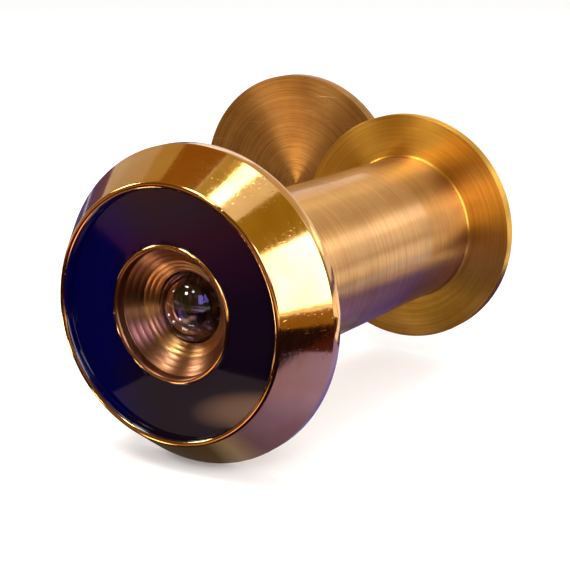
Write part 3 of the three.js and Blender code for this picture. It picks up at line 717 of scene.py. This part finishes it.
def make_bezel(brass, satin, lacquer, shaded_well_brass, seat_brass):
    """Bezel and barrel in one piece: polished rim, satin barrel, lacquered dish, painted-shade well and lens
    seat.
    """
    low, high = extent("outer_barrel")
    relief_y = extent("lens_lock_ring")[1].y + CELL_RELIEF
    piece = turned("bezel_and_barrel", bezel_outline(low.y, high.x, high.y, relief_y))
    soften(piece, EDGE_BREAK)
    finish_piece(piece, "outer_half", brass, "polished_brass", "outer_barrel")
    satin_slot, lacquer_slot, shaded_well_slot, seat_slot = range(1, 5)
    for other in (satin, lacquer, shaded_well_brass, seat_brass):
        piece.data.materials.append(other)
    dish_y = low.y + DISH_DEPTH
    seat_y = low.y + WELL_DEPTH + LENS_LIP
    for face in piece.data.polygons:
        place = face.center / MM
        radius = math.hypot(place.x, place.z)
        # The well, the inner half of its rim and the lens cell take the darker brass as painted shade.
        if seat_y - HAIR < place.y < relief_y + WELL_SHADE_CELL_END and radius < CELL_RADIUS + WELL_SHADE_CELL_WALL:
            face.material_index = shaded_well_slot
        elif place.y > -EDGE_BREAK / 2 and radius < high.x - SATIN_MARGIN:
            face.material_index = satin_slot
        elif radius < LENS_OPENING_RADIUS and place.y > dish_y:
            face.material_index = seat_slot
        elif radius < WELL_RADIUS + WELL_SHADE_RIM:
            face.material_index = shaded_well_slot
        elif WELL_RIM_RADIUS - LACQUER_RIM < radius < DISH_RADIUS + LACQUER_LIP:
            face.material_index = lacquer_slot


def make_front_lens(glass):
    high = extent("front_lens")[1]
    shoulder = extent("front_lens_seal")[1].y + SEAL_GAP
    crown = shoulder - DOME_STEP - sag(DOME_CURVE, DOME_RADIUS)
    hollow_y = high.y - sag(FRONT_HOLLOW_CURVE, FRONT_HOLLOW_RADIUS)
    outline = cap(DOME_CURVE, crown, 1, 0, DOME_RADIUS, DOME_STEPS)
    outline += [(DOME_RADIUS, shoulder), (high.x, shoulder), (high.x, high.y)]
    outline += cap(FRONT_HOLLOW_CURVE, hollow_y, 1, FRONT_HOLLOW_RADIUS, 0, DOME_STEPS)
    piece = turned("front_lens_dome", outline)
    smooth(piece)
    finish_piece(piece, "outer_half", glass, "optical_glass", "front_lens")


def make_middle_lens(glass):
    low, high = extent("middle_lens")
    hollow_y = high.y - sag(MIDDLE_HOLLOW_CURVE, HOLLOW_RADIUS)
    outline = [(0, low.y), (high.x, low.y), (high.x, high.y)]
    outline += cap(MIDDLE_HOLLOW_CURVE, hollow_y, 1, HOLLOW_RADIUS, 0, LENS_STEPS)
    piece = turned("middle_lens_glass", outline)
    smooth(piece)
    finish_piece(piece, "outer_half", glass, "optical_glass", "middle_lens")


def make_rear_lens(glass):
    low, high = extent("rear_lens")
    front_y = low.y + sag(REAR_FRONT_CURVE, HOLLOW_RADIUS)
    back_y = high.y - sag(REAR_BACK_CURVE, HOLLOW_RADIUS)
    outline = cap(REAR_FRONT_CURVE, front_y, -1, 0, HOLLOW_RADIUS, SHALLOW_LENS_STEPS)
    outline += [(high.x, low.y), (high.x, high.y)]
    outline += cap(REAR_BACK_CURVE, back_y, 1, HOLLOW_RADIUS, 0, SHALLOW_LENS_STEPS)
    piece = turned("rear_lens_glass", outline)
    smooth(piece)
    finish_piece(piece, "outer_half", glass, "optical_glass", "rear_lens")


def make_ring(name, bore, material, slot, cad_node):
    """A plain ring that keeps lenses apart or sealed."""
    low, high = extent(cad_node)
    piece = turned(name, [(bore, low.y), (high.x, low.y), (high.x, high.y), (bore, high.y)])
    soften(piece, FINE_EDGE_BREAK)
    finish_piece(piece, "outer_half", material, slot, cad_node)


def make_flange(brass, black, centre):
    """Flange, neck and threaded tube, with eye cup, coin slot, spring ring groove and rivet hole."""
    low, high = extent("inner_tube")
    barrel_end = extent("outer_barrel")[1].y
    neck_y = barrel_end - NECK_LENGTH
    recess_y = barrel_end + FLANGE_RECESS
    fillet_radius = FLANGE_RECESS_RADIUS + FLANGE_FILLET
    piece = turned(
        "flange_and_tube",
        [
            (0, neck_y - NECK_OVERLAP),
            (NECK_RADIUS, neck_y - NECK_OVERLAP),
            (NECK_RADIUS, recess_y),
            (FLANGE_RECESS_RADIUS, recess_y),
            *arc(fillet_radius, barrel_end - FLANGE_FILLET, FLANGE_FILLET, 180, 90, FILLET_STEPS),
            (high.x, barrel_end),
            (high.x, high.y),
            (0, high.y),
        ],
    )
    soften(piece, EDGE_BREAK)
    thread = threaded_rod("thread", barrel_end, low.y, neck_y)
    chamfer = turned(
        "chamfer_cutter",
        [
            (THREAD_CREST - TUBE_CHAMFER, low.y - HAIR),
            (THREAD_CREST + OVERCUT, low.y - HAIR),
            (THREAD_CREST + OVERCUT, low.y + TUBE_CHAMFER + OVERCUT),
        ],
    )
    cut(thread, chamfer)
    join(piece, thread)
    spring_low, spring_high = extent("eyepiece_spring_ring")
    spring_y = (spring_low.y + spring_high.y) / 2
    shoulder_y = high.y - EYE_CUP_DEPTH - SHOULDER
    hollow = turned(
        "hollow_cutter",
        [
            (0, low.y - OVERCUT),
            (TUBE_BORE, low.y - OVERCUT),
            (TUBE_BORE, spring_y - SPRING_GROOVE_HALF),
            (SPRING_GROOVE_RADIUS, spring_y - SPRING_GROOVE_HALF),
            (SPRING_GROOVE_RADIUS, spring_y + SPRING_GROOVE_HALF),
            (TUBE_BORE, spring_y + SPRING_GROOVE_HALF),
            (TUBE_BORE, shoulder_y),
            (SHOULDER_RADIUS, shoulder_y),
            (SHOULDER_RADIUS, shoulder_y + SHOULDER),
            (EYE_CUP_THROAT, high.y - EYE_CUP_THROAT_DEPTH),
            (EYE_CUP_RADIUS, high.y),
            (EYE_CUP_RADIUS, high.y + OVERCUT),
            (0, high.y + OVERCUT),
        ],
    )
    cut(piece, hollow)
    rivet_hole = turned(
        "rivet_hole_cutter",
        [
            (0, barrel_end - OVERCUT),
            (FLARE_HOLE, barrel_end - OVERCUT),
            (FLARE_HOLE, barrel_end + FLARE_LAND),
            (RIVET_HOLE, barrel_end + FLARE_LAND + RIVET_FLARE_DEPTH),
            (RIVET_HOLE, high.y + OVERCUT),
            (0, high.y + OVERCUT),
        ],
        centre,
        HOLE_SEGMENTS,
    )
    cut(piece, rivet_hole)
    slot_length = 2 * (EYE_CUP_RADIUS + COIN_SLOT_OVERRUN)
    cut(piece, box_cutter(COIN_SLOT_WIDTH, 2 * COIN_SLOT_DEPTH, slot_length, (0, high.y, 0)))
    smooth(piece)
    finish_piece(piece, "inner_half", brass, "turned_brass", "inner_tube")
    piece.data.materials.append(black)
    for face in piece.data.polygons:
        place = face.center / MM
        in_bore = math.hypot(place.x, place.z) < SPRING_GROOVE_RADIUS + HAIR
        if in_bore and low.y + BLACK_EDGE < place.y < shoulder_y + BLACK_EDGE:
            face.material_index = 1


def make_cover(brass, centre, pivot):
    """The disc that swings over the eyepiece, hanging on its rivet."""
    low, high = extent("privacy_cover")
    radius = min(high.x - low.x, high.z - low.z) / 2
    outline = [(0, low.y), (radius, low.y), (radius, high.y), (0, high.y)]
    piece = turned("cover_disc", outline, centre)
    start_y = low.y - OVERCUT
    end_y = high.y + OVERCUT
    hole = [(0, start_y), (RIVET_HOLE, start_y), (RIVET_HOLE, end_y), (0, end_y)]
    cut(piece, turned("cover_hole_cutter", hole, pivot, HOLE_SEGMENTS))
    soften(piece, EDGE_BREAK)
    finish_piece(piece, "cover", brass, "turned_brass", "privacy_cover")


def make_rivet(brass, centre):
    low, high = extent("cover_rivet")
    dome_y = high.y - RIVET_DOME_HEIGHT
    dome_radius = (high.x - low.x) / 2
    flare_y = low.y + RIVET_FLARE_DEPTH
    outline = [(0, low.y), (RIVET_FLARE, low.y), (RIVET_SHANK, flare_y), (RIVET_SHANK, dome_y)]
    for i in range(RIVET_DOME_STEPS):
        angle = math.pi / 2 * i / RIVET_DOME_STEPS
        outline.append((dome_radius * math.cos(angle), dome_y + RIVET_DOME_HEIGHT * math.sin(angle)))
    outline.append((0, high.y))
    piece = turned("rivet", outline, centre, SMALL_SEGMENTS)
    soften(piece, FINE_EDGE_BREAK)
    finish_piece(piece, "inner_half", brass, "turned_brass", "cover_rivet")


def make_washer(steel, centre):
    low, high = extent("cover_spring_washer")
    radius = (high.x - low.x) / 2
    cup_y = low.y + WASHER_CUP
    rim_y = low.y + WASHER_THICKNESS
    outline = [(RIVET_HOLE, cup_y), (radius, low.y), (radius, rim_y), (RIVET_HOLE, high.y)]
    piece = turned("spring_washer", outline, centre, SMALL_SEGMENTS)
    soften(piece, FINE_EDGE_BREAK)
    finish_piece(piece, "inner_half", steel, "spring_steel", "cover_spring_washer")


def make_eyepiece(glass):
    low, high = extent("eyepiece_lens")
    bulge = sag(EYEPIECE_CURVE, EYEPIECE_CAP_RADIUS)
    outline = cap(EYEPIECE_CURVE, low.y, 1, 0, EYEPIECE_CAP_RADIUS, LENS_STEPS)
    outline += [(high.x, low.y + bulge), (high.x, high.y - bulge)]
    outline += cap(EYEPIECE_CURVE, high.y, -1, EYEPIECE_CAP_RADIUS, 0, LENS_STEPS)
    piece = turned("eyepiece_glass", outline)
    smooth(piece)
    finish_piece(piece, "eyepiece", glass, "optical_glass", "eyepiece_lens")


def dress_node(name, material):
    """A CAD node whose shape is right gets its material."""
    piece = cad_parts[name]
    piece.data.materials.clear()
    piece.data.materials.append(material)


def towards(azimuth, elevation, distance):
    """A point at a distance from the object's middle. Azimuth 0 is outdoors, and 90 is +X."""
    turn = math.radians(azimuth)
    rise = math.radians(elevation)
    across = math.cos(rise)
    direction = Vector((math.sin(turn) * across, -math.cos(turn) * across, math.sin(rise)))
    return MIDDLE + direction * distance


def aimed(place, target):
    """Turns a lamp or card at place so that it faces the target."""
    return (place - target).to_track_quat("Z", "Y").to_euler()


def softbox(name, azimuth, elevation, width, height, glow):
    """A lamp that fills some degrees each way. A glow of 1 is as bright as a white card."""
    lamp = bpy.data.lights.new(name, "AREA")
    lamp.shape = "RECTANGLE"
    lamp.size = 2 * LAMP_DISTANCE * math.tan(math.radians(width) / 2)
    lamp.size_y = 2 * LAMP_DISTANCE * math.tan(math.radians(height) / 2)
    lamp.energy = glow * math.pi * lamp.size * lamp.size_y
    holder = bpy.data.objects.new(name, lamp)
    bpy.context.scene.collection.objects.link(holder)
    holder.location = towards(azimuth, elevation, LAMP_DISTANCE)
    holder.rotation_euler = aimed(holder.location, MIDDLE)


def reflected(name, place, turn, width, height, tints, glow, soft=False):
    """A studio card that only metal, lacquer and glass mirror. The camera looks past it.

    Its tints are one hex colour, or shares of the way from left to right with the colour at each.
    On a soft card the shares run from its middle to its edge.
    """
    material, tree = new_material(name)
    shine = node(tree, "ShaderNodeEmission", {"Strength": glow})
    if isinstance(tints, str):
        shine.inputs["Color"].default_value = linear(tints)
    else:
        across = node(tree, "ShaderNodeTexCoord").outputs["Object"]
        if soft:
            middle = node(tree, "ShaderNodeVectorMath", {"operation": "LENGTH"}, {0: across}).outputs["Value"]
            share = node(tree, "ShaderNodeMath", {"operation": "MULTIPLY", 1: 2.0}, {0: middle})
        else:
            sideways = node(tree, "ShaderNodeSeparateXYZ", {}, {0: across})
            share = node(tree, "ShaderNodeMath", {"operation": "ADD", 1: 0.5}, {0: sideways})
        graded = node(tree, "ShaderNodeValToRGB", {}, {"Fac": share})
        stops = graded.color_ramp.elements
        stops.remove(stops[1])
        stops[0].position, stops[0].color = tints[0][0], linear(tints[0][1])
        for stop_share, code in tints[1:]:
            stops.new(stop_share).color = linear(code)
        tree.links.new(graded.outputs["Color"], shine.inputs["Color"])
    node(tree, "ShaderNodeOutputMaterial", {}, {"Surface": shine})
    bpy.ops.object.select_all(action="DESELECT")
    bpy.ops.mesh.primitive_plane_add(size=1.0, location=place, rotation=turn)
    piece = bpy.context.object
    piece.name = name
    piece.scale = (width, height, 1.0)
    piece.data.materials.append(material)
    piece.visible_camera = False
    piece.visible_diffuse = False
    piece.visible_shadow = False


def card(name, azimuth, elevation, width, height, tints, glow=1.0):
    """A card hung round the object, facing it. Its width and height are the degrees that it fills."""
    place = towards(azimuth, elevation, CARD_DISTANCE)
    sizes = [2 * CARD_DISTANCE * math.tan(math.radians(v) / 2) for v in (width, height)]
    reflected(name, place, aimed(place, MIDDLE), *sizes, tints, glow)


def mat(name, left, right, front, back, tints, glow=1.0, turn=0.0, layer=0, soft=False):
    """A mat laid on the floor, in millimetres from the object's axis. A higher layer lies on the others."""
    place = Vector(((left + right) / 2, (front + back) / 2, 0)) * MM
    place.z = cad_bounds[0][2] - FLOOR_DROP + MAT_LAYER * (layer + 1)
    sizes = [(right - left) * MM, (back - front) * MM]
    reflected(name, place, (0, 0, math.radians(turn)), *sizes, tints, glow, soft)


def make_floor():
    bpy.ops.object.select_all(action="DESELECT")
    bpy.ops.mesh.primitive_plane_add(size=FLOOR_SIZE, location=(0, 0, cad_bounds[0][2] - FLOOR_DROP))
    floor = bpy.context.object
    floor.name = "floor"
    material, tree = new_material("Matt white paper")
    plain = node(tree, "ShaderNodeBsdfDiffuse", {"Color": linear("#F6F5F4")})
    seen = node(tree, "ShaderNodeLightPath").outputs["Is Camera Ray"]
    strength = node(tree, "ShaderNodeMath", {"operation": "MULTIPLY", 1: FLOOR_LIFT}, {0: seen})
    lift = node(tree, "ShaderNodeEmission", {}, {"Strength": strength})
    both = node(tree, "ShaderNodeAddShader", {}, {0: plain, 1: lift})
    node(tree, "ShaderNodeOutputMaterial", {}, {"Surface": both})
    floor.data.materials.append(material)


def make_world():
    """White where the camera, metal or glass looks at it, and a softer fill elsewhere."""
    world = bpy.data.worlds.new("Studio")
    bpy.context.scene.world = world
    world.use_nodes = True
    tree = world.node_tree
    tree.nodes.clear()
    path = node(tree, "ShaderNodeLightPath")
    seen = path.outputs["Is Camera Ray"]
    for kind in ("Is Glossy Ray", "Is Transmission Ray"):
        seen = node(tree, "ShaderNodeMath", {"operation": "MAXIMUM"}, {0: seen, 1: path.outputs[kind]})
    strength = node(tree, "ShaderNodeMapRange", {"To Min": WORLD_FILL, "To Max": 1.0}, {"Value": seen})
    sky = node(tree, "ShaderNodeBackground", {"Color": (1, 1, 1, 1)}, {"Strength": strength})
    node(tree, "ShaderNodeOutputWorld", {}, {"Surface": sky})


def make_camera():
    forward = Vector(CAMERA_FORWARD).normalized()
    right = forward.cross(Vector(CAMERA_UP)).normalized()
    up = right.cross(forward)
    lens = bpy.data.cameras.new("camera")
    lens.lens = CAMERA_LENS
    lens.sensor_width = CAMERA_SENSOR
    lens.clip_start = MM
    camera = bpy.data.objects.new("camera", lens)
    bpy.context.scene.collection.objects.link(camera)
    turn = Matrix((right, up, -forward)).transposed().to_4x4()
    camera.matrix_world = Matrix.Translation(Vector(CAMERA_PLACE) * MM) @ turn
    bpy.context.scene.camera = camera


make_camera()
make_floor()
make_world()

pivot_low, pivot_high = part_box("cover_rivet")
PIVOT = ((pivot_low.x + pivot_high.x) / 2, 0, (pivot_low.z + pivot_high.z) / 2)
cover_low, cover_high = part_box("privacy_cover")
COVER_CENTRE = ((cover_low.x + cover_high.x) / 2, 0, (cover_low.z + cover_high.z) / 2)

mirror_brass = polished_brass()

# Turned brass on each piece: its centre, the depth of its lines, how far highlights are drawn out, the least
# roughness and the tones, then scratches and clear lacquer.
barrel_brass = turned_brass("Turned brass, barrel", ON_AXIS, 0.001, 0.9, 0.33, BARREL_BRASS, 0.2, 0.45)
flange_brass = turned_brass("Turned brass, flange", ON_AXIS, 0.0008, 0.9, 0.34, YELLOW_BRASS, 0.25)
cover_brass = turned_brass("Turned brass, cover", COVER_CENTRE, 0.0008, 0.9, 0.3, RED_BRASS, 0.6)
rivet_brass = turned_brass("Turned brass, rivet", PIVOT, 0.001, 0.3, 0.3, YELLOW_BRASS)
# The well's brass is darker as painted shade.
shaded_well_brass = turned_brass("Turned brass, well, painted shade", ON_AXIS, 0.0003, 0.5, 0.26, SHADED_WELL_BRASS)
seat_brass = turned_brass("Turned brass, lens seat", ON_AXIS, 0.0003, 0.5, 0.26, SEAT_BRASS)
lacquer = black_lacquer()
glass = optical_glass()
anodised = matt_metal("Black anodised aluminium", "#161414", "#262220")
bronzed = matt_metal("Bronze anodised aluminium", "#8A6240", "#6A4A30")
blacked = matt_metal("Blacked brass", "#161414", "#262220")
rubber = nitrile_rubber()
washer_steel = spring_steel("Spring steel, washer", PIVOT)
wire_steel = spring_steel("Spring steel, wire", ON_AXIS)

make_bezel(mirror_brass, barrel_brass, lacquer, shaded_well_brass, seat_brass)
make_front_lens(glass)
make_middle_lens(glass)
make_rear_lens(glass)
make_ring("lens_seal", SEAL_BORE, rubber, "black_rubber", "front_lens_seal")
make_ring("front_lens_spacer", SPACER_BORE, bronzed, "blacked_aluminium", "front_spacer")
make_ring("rear_lens_spacer", SPACER_BORE, anodised, "blacked_aluminium", "rear_spacer")
make_flange(flange_brass, blacked, PIVOT)
make_cover(cover_brass, COVER_CENTRE, PIVOT)
make_rivet(rivet_brass, PIVOT)
make_washer(washer_steel, PIVOT)
make_eyepiece(glass)
dress_node("lens_lock_ring", flange_brass)
dress_node("eyepiece_spring_ring", wire_steel)

# Lamps: azimuth, elevation, width and height in degrees, and glow.
softbox("overhead softbox", 75, 85, 26, 10, 7.0)
softbox("right softbox", 81, 19, 24, 38, 6.0)
softbox("back right softbox", 155, 18, 14, 9, 1.5)
softbox("back left softbox", -152, 23, 16, 12, 0.5)
softbox("left window", -67, 29, 12, 12, 15.0)
softbox("high spot lamp", -28, 62, 9, 20, 20.0)
softbox("front spot lamp", -12, 38, 7, 7, 22.0)
softbox("right strip lamp", 54, 31, 5, 20, 20.0)

# Cards that stand for the walls and furniture of the room: azimuth, elevation, width, height, tint and glow.
card("left grey card", -113, 26, 60, 28, "#CCC0AD")
card("left olive card", -110, 46, 70, 13, "#C0AA70")
card("left mauve card", -123, 7, 40, 9, "#6B4C65")
card("left violet card", -130, 0, 30, 6, "#56467C")
card("top brown card", -107, 65, 90, 27, "#9A6E2A")
card("top olive card", -104, 86, 90, 14, "#BBB57A")
card("right ochre card", 78, 53, 60, 26, "#A89338")
card("dark front card", -12, 24, 144, 74, "#6A5326")
card("front violet card", 40, 26, 14, 26, "#9F8BFF", 5.0)
card("back warm card", 180, 34, 50, 24, "#D9C4AA")
card("back pale card", 150, -2, 40, 10, "#6E6A98")
card("right lilac card", 121, 8, 46, 24, "#8A8CC8")

# Mats that stand for what lies round the object: left, right, front, back, tint, glow, turn and layer.
mat("near mauve mat", 0, 34, -6, 30, NEAR_TINTS, 1.15)
mat("dark right front mat", 0, 75, -60, -6, "#1C1016")
# Painted shadow: this dark mat lies right under the object, where it shades the floor, and shows in
# reflections.
mat("contact shadow mat", -8, 0, -6, 8, "#474037")
mat("right dark mat", 34, 75, -6, 60, "#4F2727")
mat("right brown mat", 75, 300, -100, 60, "#9B7631")
mat("violet mat under the barrel", -20, 0, 30, 60, "#4A3A9A")
mat("violet mat behind", 0, 24, 30, 60, "#4A3A9A")
mat("pale mat behind", 43, 51, 54, 110, "#FFE0D0", 1.2, -30, 1)
mat("left violet mat", -300, -60, 40, 300, "#56467C")
mat("dark front mat", -260, 0, -60, -6, "#120E10")
mat("far golden mat", -260, 60, -300, -60, "#CF9A40", 0.8)
mat("cover streak mat", -39.5, -34.5, -14, 22, "#FFE4C0", 11.5, -32, 2)
mat("brown mat", -91.9, 7.1, -90.5, -60.5, BROWN_TINTS, 1.4, 39.8, 1)
mat("dark turned mat", -92, -28, -67, -42, "#120E10", 1.0, 39.8, 1)
mat("brown near mat", -17, 2, -28, -8, "#A4897C", 1.0, 0, 1)
mat("tan mat", -9, 3, -27.5, -13.5, TAN_TINTS, 4.0, 20, 2, True)
mat("dark left mat", -60, -8, -6, 30, "#502A24")
mat("left glint mat", -33, -28, -15, -9.5, "#FFF4E8", 14.0, 10, 3)
mat("middle glint mat", -17, -14, -12.5, -9.5, "#FFF4E8", 10.0, 10, 3)
mat("near glint mat", -6, -2.5, -9.6, -7.2, "#FFE4D8", 7.0, 10, 3)

scene = bpy.context.scene
scene.view_settings.view_transform = "Standard"
